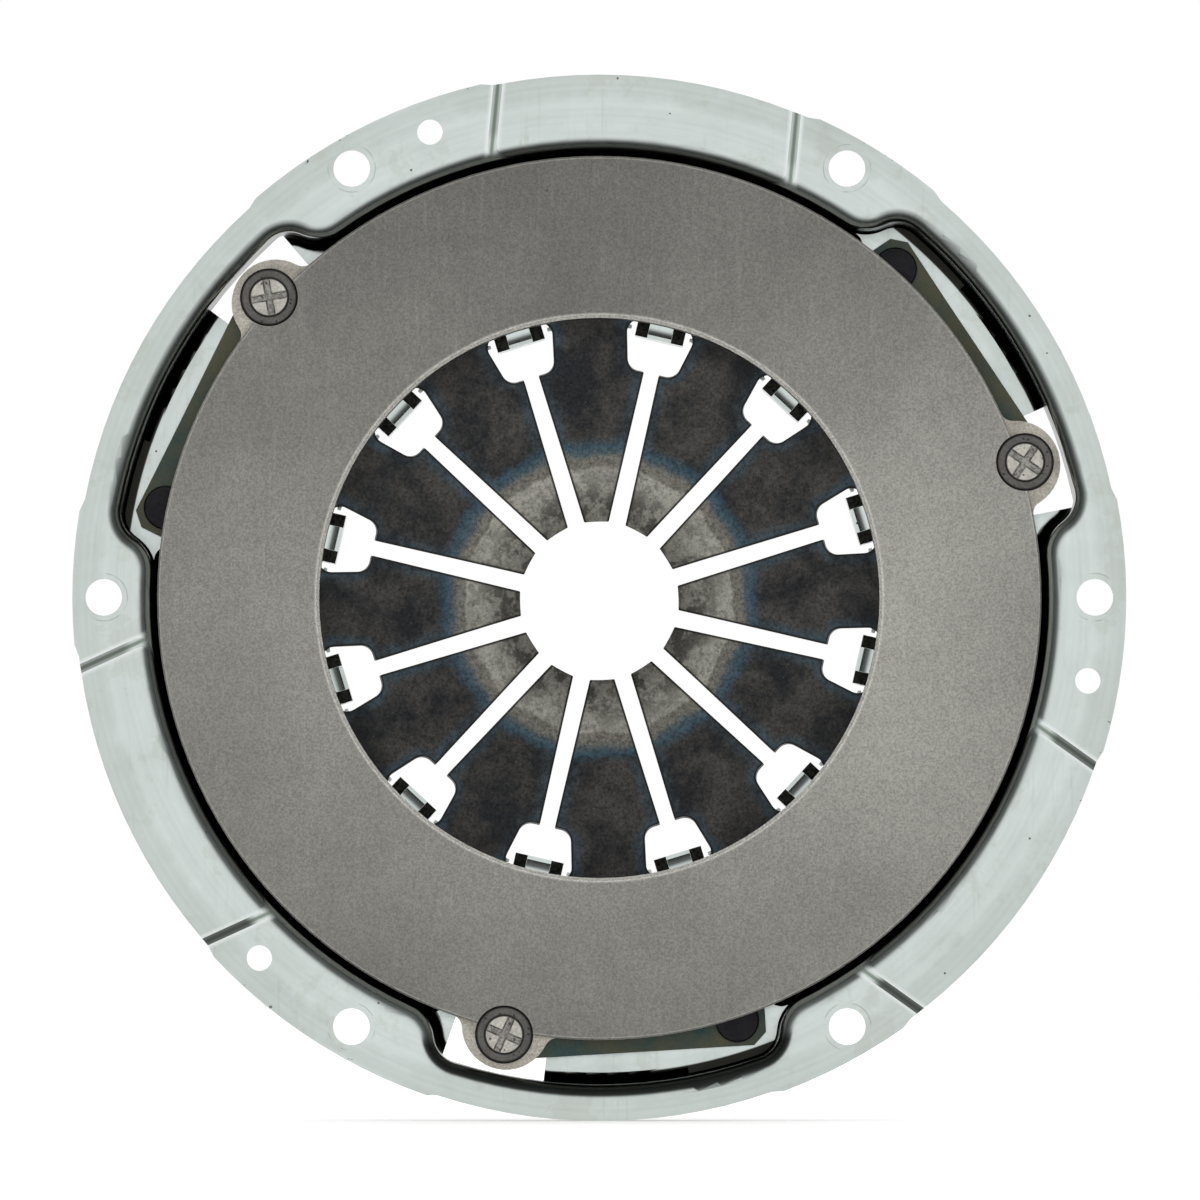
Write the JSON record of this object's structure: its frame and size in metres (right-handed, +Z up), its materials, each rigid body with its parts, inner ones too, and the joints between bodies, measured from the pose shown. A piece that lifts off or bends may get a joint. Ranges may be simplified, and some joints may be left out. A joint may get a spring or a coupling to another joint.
{
  "type": "clutch pressure plate",
  "caption": "Round drawn-steel clutch cover with a flat iron pressure ring, a slotted diaphragm spring and leaf drive straps, bolted by its rim to a flywheel.",
  "frame": {"origin": "centre of the face that seats on the flywheel, on the rotation axis", "axes": "-Y towards the flywheel along the rotation axis, +Y towards the release bearing, +Z up and +X to the right as seen from the flywheel"},
  "size_m": [0.2456, 0.0391, 0.244],
  "materials": {
    "cover": "bright zinc plate, drawn steel",
    "plate": "fine ground friction face, cast elsewhere",
    "spring": "dark heat-treated spring steel with blued bands",
    "ring": "plain spring wire",
    "strap": "dark green-grey blued strip",
    "lug_rivet": "dull steel",
    "cover_rivet": "blackened steel"
  },
  "bodies": {
    "cover": {"cover": "cover", "pivot_ring_front": "ring", "pivot_ring_back": "ring", "strap_1_leaf_1": "strap", "strap_1_leaf_2": "strap", "strap_1_leaf_3": "strap", "strap_2_leaf_1": "strap", "strap_2_leaf_2": "strap", "strap_2_leaf_3": "strap", "strap_3_leaf_1": "strap", "strap_3_leaf_2": "strap", "strap_3_leaf_3": "strap", "cover_rivet_1": "cover_rivet", "cover_rivet_2": "cover_rivet", "cover_rivet_3": "cover_rivet"},
    "pressure_plate": {"pressure_plate": "plate", "lug_rivet_1": "lug_rivet", "lug_rivet_2": "lug_rivet", "lug_rivet_3": "lug_rivet"},
    "diaphragm": {"diaphragm_spring": "spring"}
  },
  "joints": [
    {"name": "plate_lift", "type": "slide", "parent": "cover", "child": "pressure_plate", "axis": [0, 1, 0], "range_m": [0, 0.0046], "stiffness_N_per_m": 2000, "deforming": ["strap_1_leaf_1", "strap_1_leaf_2", "strap_1_leaf_3", "strap_2_leaf_1", "strap_2_leaf_2", "strap_2_leaf_3", "strap_3_leaf_1", "strap_3_leaf_2", "strap_3_leaf_3"]},
    {"name": "finger_travel", "type": "slide", "parent": "cover", "child": "diaphragm", "axis": [0, -1, 0], "range_m": [0, 0.0156], "deforming": ["diaphragm_spring"]}
  ],
  "couplings": [
    {"joint": "finger_travel", "follows": "plate_lift", "ratio": 3.3878}
  ]
}
